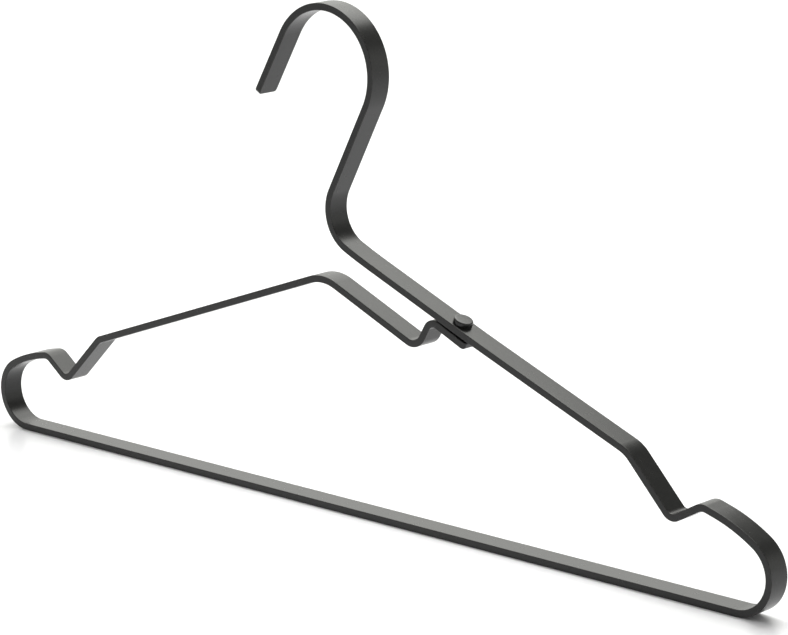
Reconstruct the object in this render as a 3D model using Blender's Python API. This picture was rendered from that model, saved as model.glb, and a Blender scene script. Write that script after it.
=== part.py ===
"""Clothes hanger bent from one length of flat aluminium bar and closed by one rivet.

The hanger is upright in the XZ plane: X runs along the shoulders, Y across the bar's width
and Z up. The origin is the hook's seat, the highest point of its inside, which rests on a
rail. The bar's path is laid out from the middle of the bottom bar and then moved there. It
starts at the free tip of the hook and ends at the lap under the right shoulder. Lengths are
in metres and angles in degrees.
"""
import math

import bmesh
import bpy
from mathutils import Matrix, Vector

# Flat bar stock
BAR_WIDTH = 0.010
BAR_THICKNESS = 0.003
BAR_EDGE_RADIUS = 0.0003
BAR_TIP_RADIUS = 0.0012

# Bottom bar and round ends, along the middle of the bar's thickness
OVERALL_WIDTH = 0.435
END_RADIUS = 0.0152
END_TOP_RADIUS = 0.068
END_TOP_TURN = 17.0
RIGHT_END_SLOPE = 16.0
LEFT_END_SLOPE = 10.7
PEAK_INSET = 0.0330
PEAK_BEND_RADIUS = 0.0055

# Strap notches: corners are set in from the hanger's side and up from the bottom bar
RIGHT_NOTCH_INSET = 0.0475
RIGHT_NOTCH_HEIGHT = 0.0299
LEFT_NOTCH_INSET = 0.0455
LEFT_NOTCH_HEIGHT = 0.0267
NOTCH_BEND_RADIUS = 0.0044

# Shoulders: corners of their outer bends, and the slopes of the lines up from these corners
RIGHT_SHOULDER_INSET = 0.0690
RIGHT_SHOULDER_HEIGHT = 0.0528
RIGHT_SHOULDER_SLOPE = 22.2
RIGHT_SHOULDER_RADIUS = 0.0150
LEFT_SHOULDER_INSET = 0.0680
LEFT_SHOULDER_HEIGHT = 0.0488
LEFT_SHOULDER_SLOPE = 19.5
LEFT_SHOULDER_RADIUS = 0.0055
APEX_BEND_RADIUS = 0.0195

# Sag of the right shoulder: over the slot the bar runs straight, a little below the line
# between the shoulder's end corners. Distances run down that line from the neck's corner.
SHOULDER_SAG = 0.0014
SAG_START_DISTANCE = 0.0235
SAG_START_RADIUS = 0.180
SAG_END_DISTANCE = 0.0905
SAG_END_RADIUS = 0.600

# Neck and hook
NECK_FOOT_OFFSET = 0.0131
NECK_BEND_RADIUS = 0.0165
NECK_LEAN = 28.5
NECK_LENGTH = 0.0584
HOOK_RADIUS = 0.0262
HOOK_TURN = 178.0
HOOK_TIP_LENGTH = 0.0302

# Slot and lap: distances and depths run down and square to the sagging straight, from the
# point on it that lies under the neck's corner
SLOT_PITCH = 0.0169
SLOT_SPLAY = 0.9
STEP_DISTANCE = 0.0686
STEP_TURN = 82.0
STEP_FOOT_RADIUS = 0.0064
STEP_HEAD_RADIUS = 0.0042
LAP_GAP = 0.0003
LAP_TILT = 2.0
LAP_LENGTH = 0.0196

# Rivet
RIVET_EDGE_DISTANCE = 0.0075
RIVET_SHANK_RADIUS = 0.0020
RIVET_HOLE_CLEARANCE = 0.0003
RIVET_SEAT_GAP = 0.0003
RIVET_HEAD_RADIUS = 0.0040
RIVET_HEAD_HEIGHT = 0.0018
RIVET_HEAD_CROWN = 0.0001
RIVET_HEAD_ROUNDING = 0.0006
RIVET_TAIL_RADIUS = 0.0030
RIVET_TAIL_HEIGHT = 0.0010
RIVET_TAIL_ROUNDING = 0.0004

# Working values
CUT_OVERRUN = 0.002
WELD_DISTANCE = 0.000001
ARC_STEP = 6.0
SHORTEST_STEP_SHARE = 0.25
EDGE_STEPS = 2
TIP_STEPS = 5
ROUNDING_STEPS = 4
ROUND_SIDES = 32
SHARP_ANGLE = 32.0

# Satin black finishes: colour, metallic and roughness
BAR_FINISH = ((0.040, 0.040, 0.039, 1.0), 0.55, 0.42)
RIVET_FINISH = ((0.032, 0.032, 0.032, 1.0), 0.55, 0.36)


def flat_direction(degrees):
    """Unit vector in the plane of the hanger, turned up from +X."""
    angle = math.radians(degrees)
    return Vector((math.cos(angle), math.sin(angle)))


def turned(vector, angle):
    """Vector in the plane of the hanger after a turn from X towards Z."""
    cosine = math.cos(angle)
    sine = math.sin(angle)
    return Vector((vector.x * cosine - vector.y * sine, vector.x * sine + vector.y * cosine))


def left_of(direction):
    """Unit normal on the left hand of a direction in the plane of the hanger."""
    return Vector((-direction.y, direction.x))


def signed_angle(first, second):
    """Angle from one direction to another, positive from X towards Z."""
    return math.atan2(first.x * second.y - first.y * second.x, first.dot(second))


def crossing(point, direction, other_point, other_direction):
    """Point where two lines meet."""
    offset = other_point - point
    area = direction.x * other_direction.y - direction.y * other_direction.x
    along = (offset.x * other_direction.y - offset.y * other_direction.x) / area
    return point + direction * along


def mirrored(point):
    """Same point on the other side of the hanger's middle."""
    return Vector((-point.x, point.y))


def add_arc(stations, start, direction, radius, turn):
    """Add the stations of a bend that begins at start; returns its last point and direction.

    Between the bend's ends the bar's direction changes in whole steps from level, so that the
    outermost points of a round are among the stations.
    """
    centre = start + left_of(direction) * math.copysign(radius, turn)
    step = math.copysign(math.radians(ARC_STEP), turn)
    heading = math.atan2(direction.y, direction.x) / step
    last_heading = heading + turn / step
    headings = [heading]
    whole = math.floor(heading + SHORTEST_STEP_SHARE) + 1
    while whole < last_heading - SHORTEST_STEP_SHARE:
        headings.append(whole)
        whole += 1
    if (stations[-1][0] - start).length < WELD_DISTANCE:
        stations.pop()
    for reached in headings + [last_heading]:
        angle = (reached - heading) * step
        stations.append((centre + turned(start - centre, angle), turned(direction, angle)))
    return stations[-1]


def add_bends(stations, corners, radii):
    """Add a rounded bend at each inner corner of a run of straight lines.

    Where two bends would need more than the straight between them, both get smaller.
    """
    lines = [after - before for before, after in zip(corners, corners[1:])]
    turns = [signed_angle(inward, outward) for inward, outward in zip(lines, lines[1:])]
    reaches = [radius * math.tan(abs(turn) / 2) for radius, turn in zip(radii, turns)]
    crowdings = [
        (first + second) / line.length
        for first, second, line in zip([0.0] + reaches, reaches + [0.0], lines)
    ]
    for index, (radius, turn, reach) in enumerate(zip(radii, turns, reaches)):
        crowding = max(1, crowdings[index], crowdings[index + 1])
        inward = lines[index].normalized()
        start = corners[index + 1] - inward * reach / crowding
        add_arc(stations, start, inward, radius / crowding, turn)


def end_centre_x():
    """Distance of a round end's centre from the hanger's middle."""
    return OVERALL_WIDTH / 2 - BAR_THICKNESS / 2 - END_RADIUS


def end_points(slope):
    """Points of the right-hand round end: where its top curve begins, and its peak corner."""
    centre = Vector((end_centre_x(), END_RADIUS))
    joint_normal = flat_direction(90.0 - slope - END_TOP_TURN)
    top_normal = flat_direction(90.0 - slope)
    joint = centre + joint_normal * END_RADIUS
    top = joint - joint_normal * END_TOP_RADIUS + top_normal * END_TOP_RADIUS
    uphill = left_of(top_normal)
    peak_x = OVERALL_WIDTH / 2 - PEAK_INSET
    peak = top + uphill * ((top.x - peak_x) / -uphill.x)
    return top, peak


def right_downhill():
    """Direction down the right shoulder."""
    return flat_direction(-RIGHT_SHOULDER_SLOPE)


def right_shoulder_corner():
    """Corner of the bend at the low end of the right shoulder."""
    return Vector((OVERALL_WIDTH / 2 - RIGHT_SHOULDER_INSET, RIGHT_SHOULDER_HEIGHT))


def neck_corner():
    """Corner of the bend where the neck meets the right shoulder."""
    bend = right_shoulder_corner()
    downhill = right_downhill()
    return bend - downhill * ((bend.x + NECK_FOOT_OFFSET) / downhill.x)


def up_neck():
    """Direction up the neck."""
    return flat_direction(90.0 - NECK_LEAN)


def neck_top():
    """Point where the neck's straight ends and the hook begins."""
    return neck_corner() + up_neck() * NECK_LENGTH


def hook_centre():
    """Centre of the hook's round."""
    return neck_top() + left_of(up_neck()) * HOOK_RADIUS


def hook_seat():
    """Highest point of the hook's inside."""
    return hook_centre() + Vector((0.0, HOOK_RADIUS - BAR_THICKNESS / 2))


def shoulder_place(distance, depth):
    """Point at a distance down the right shoulder and a depth under its sagging straight."""
    downhill = right_downhill()
    return neck_corner() + downhill * distance - left_of(downhill) * (SHOULDER_SAG + depth)


def rivet_reach():
    """Distance of the rivet from the lap's step."""
    return LAP_LENGTH - RIVET_EDGE_DISTANCE


def hook_stations():
    """Stations from the free tip over the hook to the top of the neck."""
    centre = hook_centre()
    turn = math.radians(HOOK_TURN)
    hook_start = centre + turned(neck_top() - centre, turn)
    towards_hook = -turned(up_neck(), turn)
    stations = [(hook_start - towards_hook * HOOK_TIP_LENGTH, towards_hook)]
    add_arc(stations, hook_start, towards_hook, HOOK_RADIUS, -turn)
    return stations


def right_side_corners():
    """Corners from the neck down the right shoulder to the right end's top curve."""
    sag_start = shoulder_place(SAG_START_DISTANCE, 0.0)
    sag_end = shoulder_place(SAG_END_DISTANCE, 0.0)
    notch = Vector((OVERALL_WIDTH / 2 - RIGHT_NOTCH_INSET, RIGHT_NOTCH_HEIGHT))
    top, peak = end_points(RIGHT_END_SLOPE)
    shoulder = [neck_top(), neck_corner(), sag_start, sag_end, right_shoulder_corner()]
    return shoulder + [notch, peak, top]


def left_side_corners():
    """Corners from the left end's top curve up the left shoulder to the end of the lap."""
    top, peak = end_points(LEFT_END_SLOPE)
    notch = Vector((LEFT_NOTCH_INSET - OVERALL_WIDTH / 2, LEFT_NOTCH_HEIGHT))
    bend = Vector((LEFT_SHOULDER_INSET - OVERALL_WIDTH / 2, LEFT_SHOULDER_HEIGHT))
    uphill = flat_direction(LEFT_SHOULDER_SLOPE)
    slot_start = shoulder_place(0.0, SLOT_PITCH)
    slot_downhill = flat_direction(-RIGHT_SHOULDER_SLOPE - SLOT_SPLAY)
    apex = crossing(bend, uphill, slot_start, slot_downhill)
    step_head = shoulder_place(STEP_DISTANCE, BAR_THICKNESS + LAP_GAP)
    step_direction = flat_direction(STEP_TURN - RIGHT_SHOULDER_SLOPE)
    step_foot = crossing(step_head, step_direction, slot_start, slot_downhill)
    lap_end = step_head + flat_direction(-RIGHT_SHOULDER_SLOPE - LAP_TILT) * LAP_LENGTH
    return [mirrored(top), mirrored(peak), notch, bend, apex, step_foot, step_head, lap_end]


def bar_stations():
    """Points and directions along the middle of the whole bar, from the tip to the lap's end."""
    stations = hook_stations()
    corners = right_side_corners()
    add_bends(
        stations,
        corners,
        [NECK_BEND_RADIUS, SAG_START_RADIUS, SAG_END_RADIUS, RIGHT_SHOULDER_RADIUS,
         NOTCH_BEND_RADIUS, PEAK_BEND_RADIUS],
    )
    top_turn = -math.radians(END_TOP_TURN)
    downhill = flat_direction(-RIGHT_END_SLOPE)
    joint, downhill = add_arc(stations, corners[-1], downhill, END_TOP_RADIUS, top_turn)
    round_turn = math.radians(RIGHT_END_SLOPE + END_TOP_TURN - 180.0)
    add_arc(stations, joint, downhill, END_RADIUS, round_turn)

    bar_end = Vector((-end_centre_x(), 0.0))
    leftward = flat_direction(180.0)
    round_turn = math.radians(LEFT_END_SLOPE + END_TOP_TURN - 180.0)
    joint, uphill = add_arc(stations, bar_end, leftward, END_RADIUS, round_turn)
    add_arc(stations, joint, uphill, END_TOP_RADIUS, top_turn)
    corners = left_side_corners()
    add_bends(
        stations,
        corners,
        [PEAK_BEND_RADIUS, NOTCH_BEND_RADIUS, LEFT_SHOULDER_RADIUS, APEX_BEND_RADIUS,
         STEP_FOOT_RADIUS, STEP_HEAD_RADIUS],
    )
    stations.append((corners[-1], (corners[-1] - corners[-2]).normalized()))
    return stations


def with_round_tips(stations):
    """Give each station its half width, narrowing over rounded corners at both ends."""
    half_width = BAR_WIDTH / 2
    tip = []
    for step in range(TIP_STEPS + 1):
        angle = math.radians(90.0) * step / TIP_STEPS
        inset = BAR_TIP_RADIUS * (1 - math.cos(angle))
        narrowing = BAR_TIP_RADIUS * (1 - math.sin(angle))
        tip.append((inset, half_width - narrowing))
    first_point, first_direction = stations[0]
    last_point, last_direction = stations[-1]
    opening = [(first_point + first_direction * inset, first_direction, half) for inset, half in tip]
    closing = [(last_point - last_direction * inset, last_direction, half) for inset, half in tip]
    middle = [(point, direction, half_width) for point, direction in stations[1:-1]]
    return opening + middle + closing[::-1]


def section_outline(half_width):
    """Rounded rectangle across the bar: places over its width and its thickness."""
    half_thickness = BAR_THICKNESS / 2
    outline = []
    for quarter, across_sign, through_sign in ((0, 1, 1), (1, -1, 1), (2, -1, -1), (3, 1, -1)):
        for step in range(EDGE_STEPS + 1):
            angle = math.radians(90.0) * (quarter + step / EDGE_STEPS)
            across = across_sign * (half_width - BAR_EDGE_RADIUS) + BAR_EDGE_RADIUS * math.cos(angle)
            through = through_sign * (half_thickness - BAR_EDGE_RADIUS) + BAR_EDGE_RADIUS * math.sin(angle)
            outline.append((across, through))
    return outline


def finish(name, colour, metallic, roughness):
    """Material of one piece."""
    material = bpy.data.materials.new(name)
    material.use_nodes = True
    shader = material.node_tree.nodes["Principled BSDF"]
    shader.inputs["Base Color"].default_value = colour
    shader.inputs["Metallic"].default_value = metallic
    shader.inputs["Roughness"].default_value = roughness
    material.diffuse_color = colour
    return material


def add_object(name, mesh_data, material, parent):
    """Object from a bmesh, smooth where its faces meet gently."""
    bmesh.ops.recalc_face_normals(mesh_data, faces=mesh_data.faces)
    mesh = bpy.data.meshes.new(name)
    mesh_data.to_mesh(mesh)
    mesh_data.free()
    mesh.shade_smooth()
    mesh.set_sharp_from_angle(angle=math.radians(SHARP_ANGLE))
    if material is not None:
        mesh.materials.append(material)
    result = bpy.data.objects.new(name, mesh)
    result.parent = parent
    bpy.context.scene.collection.objects.link(result)
    return result


def bent_bar(parent):
    """The whole bar, lofted through one section at each station of its path."""
    solid = bmesh.new()
    rings = []
    for point, direction, half_width in with_round_tips(bar_stations()):
        normal = left_of(direction)
        ring = []
        for across, through in section_outline(half_width):
            place = point + normal * through
            ring.append(solid.verts.new((place.x, across, place.y)))
        rings.append(ring)
    for ring, next_ring in zip(rings, rings[1:]):
        for index in range(len(ring)):
            following = (index + 1) % len(ring)
            solid.faces.new((ring[index], ring[following], next_ring[following], next_ring[index]))
    solid.faces.new(rings[0])
    solid.faces.new(rings[-1])
    return add_object("bent_bar", solid, finish("satin_black_bar", *BAR_FINISH), parent)


def rounded_rim(radius, foot, rise, rounding, crown):
    """Profile of a button from its rim's foot over its rounding to the axis."""
    corner = Vector((radius - rounding, foot + math.copysign(abs(rise) - rounding, rise)))
    points = [Vector((radius, foot))]
    for step in range(ROUNDING_STEPS + 1):
        angle = math.radians(90.0) * step / ROUNDING_STEPS
        reach = Vector((math.cos(angle), math.copysign(math.sin(angle), rise)))
        points.append(corner + reach * rounding)
    points.append(Vector((0.0, foot + rise + math.copysign(crown, rise))))
    return points


def rivet_grip():
    """Depth of the lap's underside below the shoulder's outer face, on the rivet's axis."""
    tilt = math.radians(LAP_TILT)
    opening = LAP_GAP + rivet_reach() * math.tan(tilt)
    return BAR_THICKNESS * 3 / 2 + opening + BAR_THICKNESS / 2 / math.cos(tilt)


def rivet_profile():
    """Half outline of the set rivet; height zero is the shoulder's outer face."""
    head = rounded_rim(RIVET_HEAD_RADIUS, RIVET_SEAT_GAP, RIVET_HEAD_HEIGHT, RIVET_HEAD_ROUNDING,
                       RIVET_HEAD_CROWN)
    slant = RIVET_TAIL_RADIUS * math.tan(math.radians(LAP_TILT))
    tail_foot = -rivet_grip() - RIVET_SEAT_GAP - slant
    tail = rounded_rim(RIVET_TAIL_RADIUS, tail_foot, -RIVET_TAIL_HEIGHT, RIVET_TAIL_ROUNDING, 0.0)
    shank = [Vector((RIVET_SHANK_RADIUS, RIVET_SEAT_GAP)), Vector((RIVET_SHANK_RADIUS, tail_foot))]
    return head[::-1] + shank + tail


def rivet_placement():
    """Matrix with its origin on the shoulder's outer face and +Z square to it."""
    place = shoulder_place(STEP_DISTANCE + rivet_reach(), -BAR_THICKNESS / 2)
    location = Matrix.Translation((place.x, 0.0, place.y))
    return location @ Matrix.Rotation(math.radians(RIGHT_SHOULDER_SLOPE), 4, "Y")


def lap_rivet(parent):
    """Button head rivet, turned about its own axis."""
    solid = bmesh.new()
    profile = [solid.verts.new((point.x, 0.0, point.y)) for point in rivet_profile()]
    edges = [solid.edges.new(pair) for pair in zip(profile, profile[1:])]
    bmesh.ops.spin(
        solid,
        geom=profile + edges,
        cent=(0.0, 0.0, 0.0),
        axis=(0.0, 0.0, 1.0),
        angle=math.radians(360.0),
        steps=ROUND_SIDES,
    )
    bmesh.ops.remove_doubles(solid, verts=solid.verts, dist=WELD_DISTANCE)
    rivet = add_object("lap_rivet", solid, finish("satin_black_rivet", *RIVET_FINISH), parent)
    rivet.matrix_local = rivet_placement()
    return rivet


def drill_rivet_hole(bar, parent):
    """Cut one hole for the rivet through the shoulder and the lap under it."""
    grip = rivet_grip()
    radius = RIVET_SHANK_RADIUS + RIVET_HOLE_CLEARANCE
    tool = bmesh.new()
    bmesh.ops.create_cone(
        tool,
        cap_ends=True,
        segments=ROUND_SIDES,
        radius1=radius,
        radius2=radius,
        depth=grip + 2 * CUT_OVERRUN,
        matrix=Matrix.Translation((0.0, 0.0, -grip / 2)),
    )
    drill = add_object("rivet_hole_drill", tool, None, parent)
    drill.matrix_local = rivet_placement()
    drill.hide_render = True
    drill.display_type = "WIRE"
    cut = bar.modifiers.new("Rivet hole", "BOOLEAN")
    cut.operation = "DIFFERENCE"
    cut.solver = "EXACT"
    cut.object = drill


def main():
    """Build the hanger in an empty scene, with the hook's seat at the origin."""
    for leftover in list(bpy.data.objects):
        bpy.data.objects.remove(leftover, do_unlink=True)
    hanger = bpy.data.objects.new("hanger", None)
    bpy.context.scene.collection.objects.link(hanger)
    seat = hook_seat()
    hanger.location = (-seat.x, 0.0, -seat.y)
    bar = bent_bar(hanger)
    drill_rivet_hole(bar, hanger)
    lap_rivet(hanger)


main()
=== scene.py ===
"""Looks of an aluminium clothes hanger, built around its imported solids.

The hanger is one bent flat bar and one rivet. Both are modelled here once more with finer
arcs, rounded edges and a satin black finish, from the same driving sizes as the solids. Only
the bar's ends are rounder here, and the rivet sits tight and is flatter on top.
Lengths are in metres and angles in degrees. X runs along the shoulders, Y across the bar's
width and Z up, and the origin is the hook's seat.
"""
import math

import bmesh
import bpy
from mathutils import Matrix, Vector


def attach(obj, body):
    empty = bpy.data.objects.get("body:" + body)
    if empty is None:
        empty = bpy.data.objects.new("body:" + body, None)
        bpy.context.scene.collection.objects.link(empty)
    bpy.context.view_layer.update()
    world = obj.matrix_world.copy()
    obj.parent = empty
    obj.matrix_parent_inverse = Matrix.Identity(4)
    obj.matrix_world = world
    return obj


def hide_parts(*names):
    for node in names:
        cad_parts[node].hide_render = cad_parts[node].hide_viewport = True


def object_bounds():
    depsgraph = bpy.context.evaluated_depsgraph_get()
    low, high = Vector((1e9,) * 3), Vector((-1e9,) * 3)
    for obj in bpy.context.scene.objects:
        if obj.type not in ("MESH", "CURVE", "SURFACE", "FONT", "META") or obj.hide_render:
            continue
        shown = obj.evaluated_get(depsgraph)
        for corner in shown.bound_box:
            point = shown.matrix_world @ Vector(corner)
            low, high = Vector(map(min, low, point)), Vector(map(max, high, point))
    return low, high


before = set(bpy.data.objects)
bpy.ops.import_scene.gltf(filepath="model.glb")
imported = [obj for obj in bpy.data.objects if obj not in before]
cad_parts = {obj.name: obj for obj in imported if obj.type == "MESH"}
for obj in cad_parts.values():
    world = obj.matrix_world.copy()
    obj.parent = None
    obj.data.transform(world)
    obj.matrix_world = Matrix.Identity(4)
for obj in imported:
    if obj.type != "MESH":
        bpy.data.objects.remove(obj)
cad_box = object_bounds()

# Flat bar stock
BAR_WIDTH = 0.010
BAR_THICKNESS = 0.003
BAR_EDGE_RADIUS = 0.0003
BAR_TIP_RADIUS = 0.0017
BAR_TIP_EDGE_RADIUS = 0.0007

# Bottom bar and round ends, along the middle of the bar's thickness
OVERALL_WIDTH = 0.435
END_RADIUS = 0.0152
END_TOP_RADIUS = 0.068
END_TOP_TURN = 17.0
RIGHT_END_SLOPE = 16.0
LEFT_END_SLOPE = 10.7
PEAK_INSET = 0.0330
PEAK_BEND_RADIUS = 0.0055

# Strap notches: corners are set in from the hanger's side and up from the bottom bar
RIGHT_NOTCH_INSET = 0.0475
RIGHT_NOTCH_HEIGHT = 0.0299
LEFT_NOTCH_INSET = 0.0455
LEFT_NOTCH_HEIGHT = 0.0267
NOTCH_BEND_RADIUS = 0.0044

# Shoulders: corners of their outer bends, and the slopes of the lines up from these corners
RIGHT_SHOULDER_INSET = 0.0690
RIGHT_SHOULDER_HEIGHT = 0.0528
RIGHT_SHOULDER_SLOPE = 22.2
RIGHT_SHOULDER_RADIUS = 0.0150
LEFT_SHOULDER_INSET = 0.0680
LEFT_SHOULDER_HEIGHT = 0.0488
LEFT_SHOULDER_SLOPE = 19.5
LEFT_SHOULDER_RADIUS = 0.0055
APEX_BEND_RADIUS = 0.0195

# Sag of the right shoulder: over the slot the bar runs straight, a little below the line
# between the shoulder's end corners. Distances run down that line from the neck's corner.
SHOULDER_SAG = 0.0014
SAG_START_DISTANCE = 0.0235
SAG_START_RADIUS = 0.180
SAG_END_DISTANCE = 0.0905
SAG_END_RADIUS = 0.600

# Neck and hook
NECK_FOOT_OFFSET = 0.0131
NECK_BEND_RADIUS = 0.0165
NECK_LEAN = 28.5
NECK_LENGTH = 0.0584
HOOK_RADIUS = 0.0262
HOOK_TURN = 178.0
HOOK_TIP_LENGTH = 0.0302

# Slot and lap: distances and depths run down and square to the sagging straight, from the
# point on it that lies under the neck's corner
SLOT_PITCH = 0.0169
SLOT_SPLAY = 0.9
STEP_DISTANCE = 0.0686
STEP_TURN = 82.0
STEP_FOOT_RADIUS = 0.0064
STEP_HEAD_RADIUS = 0.0042
LAP_GAP = 0.0003
LAP_TILT = 2.0
LAP_LENGTH = 0.0196

# Rivet
RIVET_EDGE_DISTANCE = 0.0075
RIVET_SHANK_RADIUS = 0.0020
RIVET_HOLE_CLEARANCE = 0.0003
RIVET_SEAT_GAP = 0.00001
RIVET_HEAD_RADIUS = 0.0040
RIVET_HEAD_TOP = 0.00215
RIVET_HEAD_CROWN = 0.00004
RIVET_HEAD_ROUNDING = 0.0006
RIVET_TAIL_RADIUS = 0.0030
RIVET_TAIL_END = 0.0013
RIVET_TAIL_ROUNDING = 0.0004

# Fineness of the meshes
ARC_STEP = 1.5
SHORTEST_STEP_SHARE = 0.25
EDGE_STEPS = 6
TIP_STEPS = 10
ROUNDING_STEPS = 8
CROWN_STEPS = 6
ROUND_SIDES = 96
FLOOR_SIDE = 12.0
CUT_OVERRUN = 0.002
WELD_DISTANCE = 0.000001
SHARP_ANGLE = 40.0
FLAT_FACE_WEIGHT = 50
EDGE_NORMAL_LIMIT = 0.98

# Camera, measured from the point over the middle of the bottom bar that it was fitted to
TARGET_HEIGHT = 0.0915
CAMERA_AZIMUTH = 43.125
CAMERA_ELEVATION = 13.701
CAMERA_ROLL = -0.881
CAMERA_RIGHT = 0.018054
CAMERA_UP = -0.008501
CAMERA_BACK = 1.327454
FOCAL_PIXELS = 3254.491
IMAGE_WIDTH_PIXELS = 788
SENSOR_WIDTH_MM = 36.0

# Floor: plain and pale, with a faint blurred gloss that mirrors the hanger's foot
FLOOR_COLOUR = (0.859, 0.855, 0.892, 1.0)
FLOOR_ROUGHNESS = 0.25
FLOOR_GLOSS = 0.25

# Tint of all light, which the floor's colour evens out
LIGHT_TINT = (0.995, 1.0, 0.958)

# Room light, as radiance by direction from the hanger
ROOM_RADIANCE = 0.33
HORIZON_RADIANCE = 1.0
HORIZON_RISE = (0.18, 0.58)
CEILING_RISE = (0.75, 0.92)
CEILING_RADIANCE = 1.2
BACKDROP_AZIMUTH = 150.0
BACKDROP_EDGE = (40.0, 30.0)
BACKDROP_RADIANCE = (0.83, 3.45)
FRONT_AZIMUTH = -90.0
FRONT_EDGE = (80.0, 60.0)
FRONT_RISE = (0.08, 0.16)
FRONT_RADIANCE = 0.28

# Soft panel overhead, mostly behind the hanger; X and Y are the panel's own, after its turn
PANEL_HEIGHT = 1.0
PANEL_TURN = 55.0
PANEL_X = (-0.05, 0.93)
PANEL_Y = (-0.10, 1.10)
PANEL_RADIANCE = 3.60

# Finish of the bar and the rivet
BAR_BLACK = (0.0056, 0.0056, 0.0053, 1.0)
BAR_BLACK_WORN = (0.0076, 0.0076, 0.0072, 1.0)
# Lighter colour of the rounded edges: partly edge wear, partly a painted edge highlight
EDGE_WEAR_AND_HIGHLIGHT_BLACK = (0.0300, 0.0300, 0.0290, 1.0)
BAR_ROUGHNESS = (0.24, 0.28)
EDGE_ROUGHNESS = 0.26
COATING_IOR = 1.45
GRAIN_SIZE = 0.00014
GRAIN_DETAIL = 2.0
GRAIN_DEPTH = 0.0000022
PATCH_SIZE = 0.0035
PATCH_DETAIL = 3.0
PATCH_ROUGHNESS = 0.6
PATCH_COLOUR_EDGE = (0.40, 0.75)
PATCH_GLOSS_SPAN = (0.25, 0.75)
DRAW_LINE_PITCH = 0.00022
DRAW_LINE_LENGTH = 0.030
DRAW_LINE_DETAIL = 2.0
DRAW_LINE_DEPTH = 0.0000012
EDGE_WEAR_AND_HIGHLIGHT_SIZE = 0.0011
EDGE_WEAR_AND_HIGHLIGHT_DETAIL = 4.0
EDGE_WEAR_AND_HIGHLIGHT_ROUGHNESS = 0.65
EDGE_WEAR_AND_HIGHLIGHT_EDGE = (0.35, 0.65)


def flat_direction(degrees):
    """Unit vector in the plane of the hanger, turned up from +X."""
    angle = math.radians(degrees)
    return Vector((math.cos(angle), math.sin(angle)))


def turned(vector, angle):
    """Vector in the plane of the hanger after a turn from X towards Z."""
    cosine = math.cos(angle)
    sine = math.sin(angle)
    return Vector((vector.x * cosine - vector.y * sine, vector.x * sine + vector.y * cosine))


def left_of(direction):
    """Unit normal on the left hand of a direction in the plane of the hanger."""
    return Vector((-direction.y, direction.x))


def signed_angle(first, second):
    """Angle from one direction to another, positive from X towards Z."""
    return math.atan2(first.x * second.y - first.y * second.x, first.dot(second))


def crossing(point, direction, other_point, other_direction):
    """Point where two lines meet."""
    offset = other_point - point
    area = direction.x * other_direction.y - direction.y * other_direction.x
    along = (offset.x * other_direction.y - offset.y * other_direction.x) / area
    return point + direction * along


def mirrored(point):
    """Same point on the other side of the hanger's middle."""
    return Vector((-point.x, point.y))


def add_arc(stations, start, direction, radius, turn):
    """Add the stations of a bend that begins at start; returns its last point and direction.

    Between the bend's ends the bar's direction changes in whole steps from level, so that the
    outermost points of a round are among the stations.
    """
    centre = start + left_of(direction) * math.copysign(radius, turn)
    step = math.copysign(math.radians(ARC_STEP), turn)
    heading = math.atan2(direction.y, direction.x) / step
    last_heading = heading + turn / step
    headings = [heading]
    whole = math.floor(heading + SHORTEST_STEP_SHARE) + 1
    while whole < last_heading - SHORTEST_STEP_SHARE:
        headings.append(whole)
        whole += 1
    if (stations[-1][0] - start).length < WELD_DISTANCE:
        stations.pop()
    for reached in headings + [last_heading]:
        angle = (reached - heading) * step
        stations.append((centre + turned(start - centre, angle), turned(direction, angle)))
    return stations[-1]


def add_bends(stations, corners, radii):
    """Add a rounded bend at each inner corner of a run of straight lines.

    Where two bends would need more than the straight between them, both get smaller.
    """
    lines = [after - before for before, after in zip(corners, corners[1:])]
    turns = [signed_angle(inward, outward) for inward, outward in zip(lines, lines[1:])]
    reaches = [radius * math.tan(abs(turn) / 2) for radius, turn in zip(radii, turns)]
    crowdings = [
        (first + second) / line.length
        for first, second, line in zip([0.0] + reaches, reaches + [0.0], lines)
    ]
    for index, (radius, turn, reach) in enumerate(zip(radii, turns, reaches)):
        crowding = max(1, crowdings[index], crowdings[index + 1])
        inward = lines[index].normalized()
        start = corners[index + 1] - inward * reach / crowding
        add_arc(stations, start, inward, radius / crowding, turn)


def end_centre_x():
    """Distance of a round end's centre from the hanger's middle."""
    return OVERALL_WIDTH / 2 - BAR_THICKNESS / 2 - END_RADIUS


def end_points(slope):
    """Points of the right-hand round end: where its top curve begins, and its peak corner."""
    centre = Vector((end_centre_x(), END_RADIUS))
    joint_normal = flat_direction(90.0 - slope - END_TOP_TURN)
    top_normal = flat_direction(90.0 - slope)
    joint = centre + joint_normal * END_RADIUS
    top = joint - joint_normal * END_TOP_RADIUS + top_normal * END_TOP_RADIUS
    uphill = left_of(top_normal)
    peak_x = OVERALL_WIDTH / 2 - PEAK_INSET
    peak = top + uphill * ((top.x - peak_x) / -uphill.x)
    return top, peak


def right_downhill():
    """Direction down the right shoulder."""
    return flat_direction(-RIGHT_SHOULDER_SLOPE)


def right_shoulder_corner():
    """Corner of the bend at the low end of the right shoulder."""
    return Vector((OVERALL_WIDTH / 2 - RIGHT_SHOULDER_INSET, RIGHT_SHOULDER_HEIGHT))


def neck_corner():
    """Corner of the bend where the neck meets the right shoulder."""
    bend = right_shoulder_corner()
    downhill = right_downhill()
    return bend - downhill * ((bend.x + NECK_FOOT_OFFSET) / downhill.x)


def up_neck():
    """Direction up the neck."""
    return flat_direction(90.0 - NECK_LEAN)


def neck_top():
    """Point where the neck's straight ends and the hook begins."""
    return neck_corner() + up_neck() * NECK_LENGTH


def hook_centre():
    """Centre of the hook's round."""
    return neck_top() + left_of(up_neck()) * HOOK_RADIUS


def hook_seat():
    """Highest point of the hook's inside."""
    return hook_centre() + Vector((0.0, HOOK_RADIUS - BAR_THICKNESS / 2))


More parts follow.
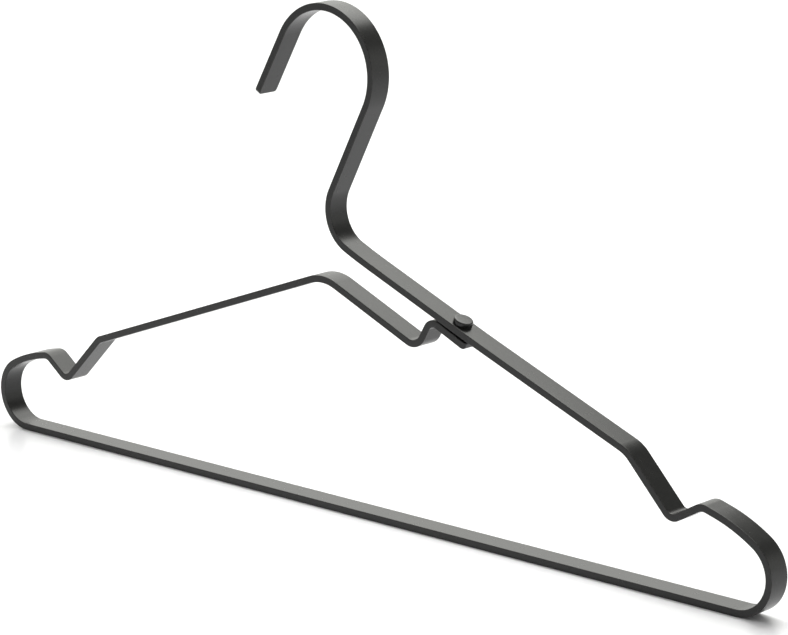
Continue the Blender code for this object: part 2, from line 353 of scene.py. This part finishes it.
def shoulder_place(distance, depth):
    """Point at a distance down the right shoulder and a depth under its sagging straight."""
    downhill = right_downhill()
    return neck_corner() + downhill * distance - left_of(downhill) * (SHOULDER_SAG + depth)


def rivet_reach():
    """Distance of the rivet from the lap's step."""
    return LAP_LENGTH - RIVET_EDGE_DISTANCE


def hook_stations():
    """Stations from the free tip over the hook to the top of the neck."""
    centre = hook_centre()
    turn = math.radians(HOOK_TURN)
    hook_start = centre + turned(neck_top() - centre, turn)
    towards_hook = -turned(up_neck(), turn)
    stations = [(hook_start - towards_hook * HOOK_TIP_LENGTH, towards_hook)]
    add_arc(stations, hook_start, towards_hook, HOOK_RADIUS, -turn)
    return stations


def right_side_corners():
    """Corners from the neck down the right shoulder to the right end's top curve."""
    sag_start = shoulder_place(SAG_START_DISTANCE, 0.0)
    sag_end = shoulder_place(SAG_END_DISTANCE, 0.0)
    notch = Vector((OVERALL_WIDTH / 2 - RIGHT_NOTCH_INSET, RIGHT_NOTCH_HEIGHT))
    top, peak = end_points(RIGHT_END_SLOPE)
    shoulder = [neck_top(), neck_corner(), sag_start, sag_end, right_shoulder_corner()]
    return shoulder + [notch, peak, top]


def left_side_corners():
    """Corners from the left end's top curve up the left shoulder to the end of the lap."""
    top, peak = end_points(LEFT_END_SLOPE)
    notch = Vector((LEFT_NOTCH_INSET - OVERALL_WIDTH / 2, LEFT_NOTCH_HEIGHT))
    bend = Vector((LEFT_SHOULDER_INSET - OVERALL_WIDTH / 2, LEFT_SHOULDER_HEIGHT))
    uphill = flat_direction(LEFT_SHOULDER_SLOPE)
    slot_start = shoulder_place(0.0, SLOT_PITCH)
    slot_downhill = flat_direction(-RIGHT_SHOULDER_SLOPE - SLOT_SPLAY)
    apex = crossing(bend, uphill, slot_start, slot_downhill)
    step_head = shoulder_place(STEP_DISTANCE, BAR_THICKNESS + LAP_GAP)
    step_direction = flat_direction(STEP_TURN - RIGHT_SHOULDER_SLOPE)
    step_foot = crossing(step_head, step_direction, slot_start, slot_downhill)
    lap_end = step_head + flat_direction(-RIGHT_SHOULDER_SLOPE - LAP_TILT) * LAP_LENGTH
    return [mirrored(top), mirrored(peak), notch, bend, apex, step_foot, step_head, lap_end]


def bar_stations():
    """Points and directions along the middle of the whole bar, from the tip to the lap's end."""
    stations = hook_stations()
    corners = right_side_corners()
    add_bends(
        stations,
        corners,
        [NECK_BEND_RADIUS, SAG_START_RADIUS, SAG_END_RADIUS, RIGHT_SHOULDER_RADIUS,
         NOTCH_BEND_RADIUS, PEAK_BEND_RADIUS],
    )
    top_turn = -math.radians(END_TOP_TURN)
    downhill = flat_direction(-RIGHT_END_SLOPE)
    joint, downhill = add_arc(stations, corners[-1], downhill, END_TOP_RADIUS, top_turn)
    round_turn = math.radians(RIGHT_END_SLOPE + END_TOP_TURN - 180.0)
    add_arc(stations, joint, downhill, END_RADIUS, round_turn)

    bar_end = Vector((-end_centre_x(), 0.0))
    leftward = flat_direction(180.0)
    round_turn = math.radians(LEFT_END_SLOPE + END_TOP_TURN - 180.0)
    joint, uphill = add_arc(stations, bar_end, leftward, END_RADIUS, round_turn)
    add_arc(stations, joint, uphill, END_TOP_RADIUS, top_turn)
    corners = left_side_corners()
    add_bends(
        stations,
        corners,
        [PEAK_BEND_RADIUS, NOTCH_BEND_RADIUS, LEFT_SHOULDER_RADIUS, APEX_BEND_RADIUS,
         STEP_FOOT_RADIUS, STEP_HEAD_RADIUS],
    )
    stations.append((corners[-1], (corners[-1] - corners[-2]).normalized()))
    return stations


def section_quarter():
    """One rounded edge: how far each point is set in from the side, and up from the middle."""
    points = []
    for step in range(EDGE_STEPS + 1):
        angle = math.radians(90.0) * step / EDGE_STEPS
        inset = BAR_EDGE_RADIUS * (1 - math.cos(angle))
        height = BAR_THICKNESS / 2 - BAR_EDGE_RADIUS * (1 - math.sin(angle))
        points.append((inset, height))
    return points


def tip_thinning(setback):
    """Share of the thickness that is left at a distance behind the end face."""
    short = max(0.0, BAR_TIP_EDGE_RADIUS - setback)
    lost = BAR_TIP_EDGE_RADIUS - math.sqrt(BAR_TIP_EDGE_RADIUS**2 - short**2)
    return 1 - lost * 2 / BAR_THICKNESS


def section_ring(point, direction, inward, tip_share):
    """Points of one section, from the underside's +Y edge round to where it began.

    tip_share runs from 0 at the bar's end face to 1 where its rounded corner is over, and
    inward is the direction from the end face into the bar.
    """
    angle = math.radians(90.0) * tip_share
    normal = left_of(direction)
    quarter = section_quarter()
    side = [(inset, -height) for inset, height in reversed(quarter)] + quarter
    ring = []
    for sign, column in ((1, side), (-1, side[::-1])):
        for inset, height in column:
            corner_radius = BAR_TIP_RADIUS - inset
            across = BAR_WIDTH / 2 - inset - corner_radius * (1 - math.sin(angle))
            place = point + normal * height
            if inward is not None:
                setback = inset + corner_radius * (1 - math.cos(angle))
                place = point + normal * height * tip_thinning(setback) + inward * setback
            ring.append(Vector((place.x, sign * across, place.y)))
    return ring


def bar_rings():
    """Sections along the bar with the distance of each from the hook's tip."""
    stations = bar_stations()
    rings = []
    first_point, first_direction = stations[0]
    for step in range(TIP_STEPS + 1):
        share = step / TIP_STEPS
        rings.append((section_ring(first_point, first_direction, first_direction, share), 0.0))
    along = 0.0
    for (before, _), (point, direction) in zip(stations, stations[1:-1]):
        along += (point - before).length
        rings.append((section_ring(point, direction, None, 1.0), along))
    last_point, last_direction = stations[-1]
    along += (last_point - stations[-2][0]).length
    for step in range(TIP_STEPS, -1, -1):
        share = step / TIP_STEPS
        rings.append((section_ring(last_point, last_direction, -last_direction, share), along))
    return rings


def perimeter_places(ring):
    """Distance round the section of each point of its ring, and of the ring's closing point."""
    places = [0.0]
    for here, there in zip(ring, ring[1:] + ring[:1]):
        places.append(places[-1] + (there - here).length)
    return places


def build_bar():
    """Mesh of the whole bar; its UV map holds metres along the bar and round its section."""
    seat = hook_seat()
    shift = Vector((-seat.x, 0.0, -seat.y))
    rings = bar_rings()
    count = len(rings[0][0])
    places = perimeter_places(section_ring(*bar_stations()[1], None, 1.0))
    mesh_data = bmesh.new()
    uv_layer = mesh_data.loops.layers.uv.new("UVMap")
    columns = []
    for ring, along in rings:
        columns.append(([mesh_data.verts.new(place + shift) for place in ring], along))
    for (ring, along), (next_ring, next_along) in zip(columns, columns[1:]):
        for index in range(count):
            following = (index + 1) % count
            corners = (
                (ring[index], along, places[index]),
                (next_ring[index], next_along, places[index]),
                (next_ring[following], next_along, places[index + 1]),
                (ring[following], along, places[index + 1]),
            )
            face = mesh_data.faces.new([corner[0] for corner in corners])
            for loop, corner in zip(face.loops, corners):
                loop[uv_layer].uv = (corner[1], corner[2])
    for ring, along in (columns[0], columns[-1]):
        half = count // 2
        for index in range(half - 1):
            strip = (ring[index], ring[index + 1], ring[count - 2 - index], ring[count - 1 - index])
            face = mesh_data.faces.new(strip)
            for loop in face.loops:
                loop[uv_layer].uv = (along, loop.vert.co.y)
    bmesh.ops.recalc_face_normals(mesh_data, faces=mesh_data.faces)
    return mesh_data


def mark_edges(mesh):
    """Mark the faces of the bar's rounded edges, for the edge wear and the painted edge highlight.
    """
    rounded_edge_mask = mesh.attributes.new("edge", "FLOAT", "CORNER")
    edge_start = BAR_WIDTH / 2 - BAR_EDGE_RADIUS
    for polygon in mesh.polygons:
        across = abs(polygon.center.y)
        turned_in = abs(polygon.normal.y) < EDGE_NORMAL_LIMIT
        on_edge = 1.0 if across > edge_start and turned_in else 0.0
        for loop_index in polygon.loop_indices:
            rounded_edge_mask.data[loop_index].value = on_edge


def rounded_rim(radius, foot, top, rounding, crown):
    """Profile of a button from its rim's foot over its rounding to the axis."""
    outward = math.copysign(1.0, top - foot)
    corner = Vector((radius - rounding, top - outward * rounding))
    points = [Vector((radius, foot))]
    for step in range(ROUNDING_STEPS + 1):
        angle = math.radians(90.0) * step / ROUNDING_STEPS
        points.append(corner + Vector((math.cos(angle), outward * math.sin(angle))) * rounding)
    for step in range(1, CROWN_STEPS + 1):
        share = step / CROWN_STEPS
        rise = outward * crown * (1 - (1 - share) ** 2)
        points.append(Vector((corner.x * (1 - share), top + rise)))
    return points


def rivet_grip():
    """Depth of the lap's underside below the shoulder's outer face, on the rivet's axis."""
    tilt = math.radians(LAP_TILT)
    opening = LAP_GAP + rivet_reach() * math.tan(tilt)
    return BAR_THICKNESS * 3 / 2 + opening + BAR_THICKNESS / 2 / math.cos(tilt)


def rivet_profile():
    """Half outline of the set rivet; height zero is the shoulder's outer face."""
    grip = rivet_grip()
    head = rounded_rim(RIVET_HEAD_RADIUS, RIVET_SEAT_GAP, RIVET_HEAD_TOP, RIVET_HEAD_ROUNDING,
                       RIVET_HEAD_CROWN)
    slant = RIVET_TAIL_RADIUS * math.tan(math.radians(LAP_TILT))
    tail_foot = -grip - RIVET_SEAT_GAP - slant
    tail = rounded_rim(RIVET_TAIL_RADIUS, tail_foot, -grip - RIVET_TAIL_END,
                       RIVET_TAIL_ROUNDING, 0.0)
    shank = [Vector((RIVET_SHANK_RADIUS, RIVET_SEAT_GAP)), Vector((RIVET_SHANK_RADIUS, tail_foot))]
    return head[::-1] + shank + tail


def rivet_place():
    """Matrix with its origin on the shoulder's outer face and +Z square to it, in the frame."""
    place = shoulder_place(STEP_DISTANCE + rivet_reach(), -BAR_THICKNESS / 2) - hook_seat()
    location = Matrix.Translation((place.x, 0.0, place.y))
    return location @ Matrix.Rotation(math.radians(RIGHT_SHOULDER_SLOPE), 4, "Y")


def build_rivet():
    """Mesh of the rivet, turned about its own axis."""
    solid = bmesh.new()
    profile = [solid.verts.new((point.x, 0.0, point.y)) for point in rivet_profile()]
    edges = [solid.edges.new(pair) for pair in zip(profile, profile[1:])]
    bmesh.ops.spin(
        solid,
        geom=profile + edges,
        cent=(0.0, 0.0, 0.0),
        axis=(0.0, 0.0, 1.0),
        angle=math.radians(360.0),
        steps=ROUND_SIDES,
    )
    bmesh.ops.remove_doubles(solid, verts=solid.verts, dist=WELD_DISTANCE)
    bmesh.ops.transform(solid, matrix=rivet_place(), verts=solid.verts)
    bmesh.ops.recalc_face_normals(solid, faces=solid.faces)
    return solid


def build_drill():
    """Mesh of the tool that cuts the rivet's hole through the shoulder and the lap."""
    grip = rivet_grip()
    radius = RIVET_SHANK_RADIUS + RIVET_HOLE_CLEARANCE
    tool = bmesh.new()
    bmesh.ops.create_cone(
        tool,
        cap_ends=True,
        segments=ROUND_SIDES,
        radius1=radius,
        radius2=radius,
        depth=grip + 2 * CUT_OVERRUN,
        matrix=rivet_place() @ Matrix.Translation((0.0, 0.0, -grip / 2)),
    )
    return tool


def add_object(name, mesh_data, material):
    """Object from a bmesh, smooth where its faces meet gently."""
    mesh = bpy.data.meshes.new(name)
    mesh_data.to_mesh(mesh)
    mesh_data.free()
    mesh.shade_smooth()
    mesh.set_sharp_from_angle(angle=math.radians(SHARP_ANGLE))
    if material is not None:
        mesh.materials.append(material)
    result = bpy.data.objects.new(name, mesh)
    bpy.context.scene.collection.objects.link(result)
    return result


def apply_modifiers(target):
    """Turn an object's modifiers into its mesh."""
    graph = bpy.context.evaluated_depsgraph_get()
    before = target.data
    target.data = bpy.data.meshes.new_from_object(target.evaluated_get(graph))
    target.modifiers.clear()
    bpy.data.meshes.remove(before)
    target.data.name = target.name


def add_flat_normals(target):
    """Let the large flat faces set the shading, so that only the rounded edges curve."""
    weighted = target.modifiers.new("Flat faces stay flat", "WEIGHTED_NORMAL")
    weighted.mode = "FACE_AREA"
    weighted.weight = FLAT_FACE_WEIGHT
    weighted.keep_sharp = True


def make_bar(material):
    """The visual bar with its rivet hole."""
    bar = add_object("bar_black", build_bar(), material)
    drill = add_object("drill", build_drill(), None)
    cut = bar.modifiers.new("Rivet hole", "BOOLEAN")
    cut.operation = "DIFFERENCE"
    cut.solver = "EXACT"
    cut.object = drill
    add_flat_normals(bar)
    apply_modifiers(bar)
    bpy.data.objects.remove(drill, do_unlink=True)
    mark_edges(bar.data)
    return bar


def make_rivet(material):
    """The visual rivet."""
    rivet = add_object("rivet_black", build_rivet(), material)
    add_flat_normals(rivet)
    apply_modifiers(rivet)
    return rivet


def add_node(tree, kind, inputs=None, **settings):
    """Node with its settings; inputs hold a value or another node's output by name or number."""
    node = tree.nodes.new(kind)
    for name, value in settings.items():
        setattr(node, name, value)
    for name, value in (inputs or {}).items():
        if isinstance(value, bpy.types.NodeSocket):
            tree.links.new(value, node.inputs[name])
        else:
            node.inputs[name].default_value = value
    return node


def add_math(tree, operation, *values):
    """Output of a math node."""
    return add_node(tree, "ShaderNodeMath", dict(enumerate(values)), operation=operation).outputs[0]


def add_step(tree, value, edge, low=0.0, high=1.0):
    """Smooth change from low to high as a value goes from edge's first number to its second."""
    first, second = edge
    if first > second:
        first, second, low, high = second, first, high, low
    inputs = {"Value": value, "From Min": first, "From Max": second, "To Min": low, "To Max": high}
    return add_node(tree, "ShaderNodeMapRange", inputs, interpolation_type="SMOOTHSTEP").outputs[0]


def add_ramp(tree, value, source, target):
    """Straight change from target's first number to its second as a value crosses source."""
    inputs = {
        "Value": value,
        "From Min": source[0],
        "From Max": source[1],
        "To Min": target[0],
        "To Max": target[1],
    }
    return add_node(tree, "ShaderNodeMapRange", inputs).outputs[0]


def add_blend(tree, factor, first, second):
    """Blend of two numbers."""
    return add_node(tree, "ShaderNodeMix", {0: factor, 2: first, 3: second}).outputs[0]


def add_colour_blend(tree, factor, first, second):
    """Blend of two colours."""
    node = add_node(tree, "ShaderNodeMix", {0: factor, 6: first, 7: second}, data_type="RGBA")
    return node.outputs[2]


def add_noise(tree, vector, size, detail, roughness=0.5):
    """Noise whose features are about one size across, in metres."""
    inputs = {"Vector": vector, "Scale": 1 / size, "Detail": detail, "Roughness": roughness}
    return add_node(tree, "ShaderNodeTexNoise", inputs).outputs["Fac"]


def satin_black(name, along_bar):
    """Satin black finish: fine blasted grain and faint patches, and on the bar draw lines and
    lighter rounded edges, partly wear and partly a painted edge highlight.
    """
    material = bpy.data.materials.new(name)
    material.use_nodes = True
    material.diffuse_color = BAR_BLACK
    tree = material.node_tree
    shader = tree.nodes["Principled BSDF"]
    places = add_node(tree, "ShaderNodeTexCoord")
    solid_place = places.outputs["Object"]
    grain = add_noise(tree, solid_place, GRAIN_SIZE, GRAIN_DETAIL)
    patches = add_noise(tree, solid_place, PATCH_SIZE, PATCH_DETAIL, PATCH_ROUGHNESS)
    in_patch = add_step(tree, patches, PATCH_COLOUR_EDGE)
    colour = add_colour_blend(tree, in_patch, BAR_BLACK, BAR_BLACK_WORN)
    rough = add_ramp(tree, patches, PATCH_GLOSS_SPAN, BAR_ROUGHNESS)
    inputs = {"Strength": 1.0, "Distance": GRAIN_DEPTH, "Height": grain}
    bump = add_node(tree, "ShaderNodeBump", inputs)
    if along_bar:
        stretch = (1 / DRAW_LINE_LENGTH, 1 / DRAW_LINE_PITCH, 1.0)
        inputs = {"Vector": places.outputs["UV"], "Scale": stretch}
        line_place = add_node(tree, "ShaderNodeMapping", inputs)
        lines = add_noise(tree, line_place.outputs["Vector"], 1.0, DRAW_LINE_DETAIL)
        inputs = {
            "Strength": 1.0,
            "Distance": DRAW_LINE_DEPTH,
            "Height": lines,
            "Normal": bump.outputs["Normal"],
        }
        bump = add_node(tree, "ShaderNodeBump", inputs)
        # Rounded edges lightened in broken spots: partly wear, partly a painted edge highlight
        edge = add_node(tree, "ShaderNodeAttribute", attribute_name="edge").outputs["Fac"]
        edge_wear_and_highlight_noise = add_noise(tree, solid_place, EDGE_WEAR_AND_HIGHLIGHT_SIZE, EDGE_WEAR_AND_HIGHLIGHT_DETAIL,
                          EDGE_WEAR_AND_HIGHLIGHT_ROUGHNESS)
        wear_and_highlight = add_math(tree, "MULTIPLY", edge, add_step(tree, edge_wear_and_highlight_noise, EDGE_WEAR_AND_HIGHLIGHT_EDGE))
        colour = add_colour_blend(tree, wear_and_highlight, colour, EDGE_WEAR_AND_HIGHLIGHT_BLACK)
        rough = add_blend(tree, wear_and_highlight, rough, EDGE_ROUGHNESS)
    tree.links.new(colour, shader.inputs["Base Color"])
    tree.links.new(rough, shader.inputs["Roughness"])
    tree.links.new(bump.outputs["Normal"], shader.inputs["Normal"])
    shader.inputs["IOR"].default_value = COATING_IOR
    return material


def add_floor(height):
    """Plain pale floor under the hanger."""
    floor_data = bmesh.new()
    matrix = Matrix.Translation((0.0, 0.0, height))
    bmesh.ops.create_grid(floor_data, x_segments=1, y_segments=1, size=FLOOR_SIDE / 2,
                          matrix=matrix)
    material = bpy.data.materials.new("pale_floor")
    material.use_nodes = True
    shader = material.node_tree.nodes["Principled BSDF"]
    shader.inputs["Base Color"].default_value = FLOOR_COLOUR
    shader.inputs["Roughness"].default_value = FLOOR_ROUGHNESS
    shader.inputs["Specular IOR Level"].default_value = FLOOR_GLOSS
    floor = add_object("floor", floor_data, material)


def add_sector(tree, level_direction, azimuth, edge):
    """One where a direction lies within a sector about an azimuth, with soft edges, else zero."""
    middle = math.radians(azimuth)
    inputs = {0: level_direction, 1: (math.cos(middle), math.sin(middle), 0.0)}
    nearness = add_node(tree, "ShaderNodeVectorMath", inputs, operation="DOT_PRODUCT")
    cosines = [math.cos(math.radians(angle)) for angle in edge]
    return add_step(tree, nearness.outputs["Value"], cosines)


def add_room_light():
    """Light from the whole room: a bright backdrop, grey sides, a dark front, a pale ceiling."""
    world = bpy.data.worlds.new("studio")
    bpy.context.scene.world = world
    world.use_nodes = True
    tree = world.node_tree
    direction = add_node(tree, "ShaderNodeTexCoord").outputs["Generated"]
    across, away, rise = add_node(tree, "ShaderNodeSeparateXYZ", {0: direction}).outputs
    flat = add_node(tree, "ShaderNodeCombineXYZ", {0: across, 1: away, 2: 0.0})
    flat_unit = add_node(tree, "ShaderNodeVectorMath", {0: flat.outputs[0]},
                         operation="NORMALIZE").outputs[0]
    radiance = add_step(tree, rise, HORIZON_RISE, HORIZON_RADIANCE, ROOM_RADIANCE)
    on_front = add_math(tree, "MULTIPLY", add_sector(tree, flat_unit, FRONT_AZIMUTH, FRONT_EDGE),
                        add_step(tree, rise, FRONT_RISE))
    radiance = add_blend(tree, on_front, radiance, FRONT_RADIANCE)
    on_backdrop = add_sector(tree, flat_unit, BACKDROP_AZIMUTH, BACKDROP_EDGE)
    backdrop = add_ramp(tree, rise, (0.0, 1.0), BACKDROP_RADIANCE)
    radiance = add_blend(tree, on_backdrop, radiance, backdrop)
    ceiling = add_math(tree, "MAXIMUM", radiance, CEILING_RADIANCE)
    radiance = add_blend(tree, add_step(tree, rise, CEILING_RISE), radiance, ceiling)
    tint = add_node(tree, "ShaderNodeVectorMath", {0: LIGHT_TINT, "Scale": radiance},
                    operation="SCALE")
    tree.links.new(tint.outputs[0], tree.nodes["Background"].inputs["Color"])


def add_panel():
    """Rectangular soft light overhead."""
    width = PANEL_X[1] - PANEL_X[0]
    depth = PANEL_Y[1] - PANEL_Y[0]
    light_data = bpy.data.lights.new("panel", "AREA")
    light_data.shape = "RECTANGLE"
    light_data.size = width
    light_data.size_y = depth
    light_data.color = LIGHT_TINT
    light_data.energy = PANEL_RADIANCE * math.pi * width * depth
    panel = bpy.data.objects.new("panel", light_data)
    turn = Matrix.Rotation(math.radians(PANEL_TURN), 4, "Z")
    middle = Vector((sum(PANEL_X) / 2, sum(PANEL_Y) / 2, PANEL_HEIGHT))
    panel.matrix_world = turn @ Matrix.Translation(middle)
    bpy.context.scene.collection.objects.link(panel)


def add_camera(target):
    """Camera at the photograph's viewing angle."""
    azimuth = math.radians(CAMERA_AZIMUTH)
    elevation = math.radians(CAMERA_ELEVATION)
    roll = math.radians(CAMERA_ROLL)
    level = math.cos(elevation)
    back = Vector((math.sin(azimuth) * level, -math.cos(azimuth) * level, math.sin(elevation)))
    level_right = Vector((math.cos(azimuth), math.sin(azimuth), 0.0))
    level_up = back.cross(level_right)
    right = level_right * math.cos(roll) + level_up * math.sin(roll)
    up = level_up * math.cos(roll) - level_right * math.sin(roll)
    place = target + right * CAMERA_RIGHT + up * CAMERA_UP + back * CAMERA_BACK
    camera_data = bpy.data.cameras.new("camera")
    camera_data.sensor_fit = "HORIZONTAL"
    camera_data.sensor_width = SENSOR_WIDTH_MM
    camera_data.lens = FOCAL_PIXELS * SENSOR_WIDTH_MM / IMAGE_WIDTH_PIXELS
    camera = bpy.data.objects.new("camera", camera_data)
    axes = Matrix((right, up, back)).transposed().to_4x4()
    camera.matrix_world = Matrix.Translation(place) @ axes
    bpy.context.scene.collection.objects.link(camera)
    bpy.context.scene.camera = camera


def main():
    """Camera, light and floor, and then the hanger's two pieces."""
    low, high = cad_box
    add_camera(Vector(((low.x + high.x) / 2, 0.0, low.z + TARGET_HEIGHT)))
    add_room_light()
    add_panel()
    add_floor(low.z)
    bpy.context.scene.view_settings.view_transform = "Standard"

    bar = make_bar(satin_black("satin_black_bar", True))
    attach(bar, "root")
    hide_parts("bent_bar")
    rivet = make_rivet(satin_black("satin_black_rivet", False))
    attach(rivet, "root")
    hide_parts("lap_rivet")


main()
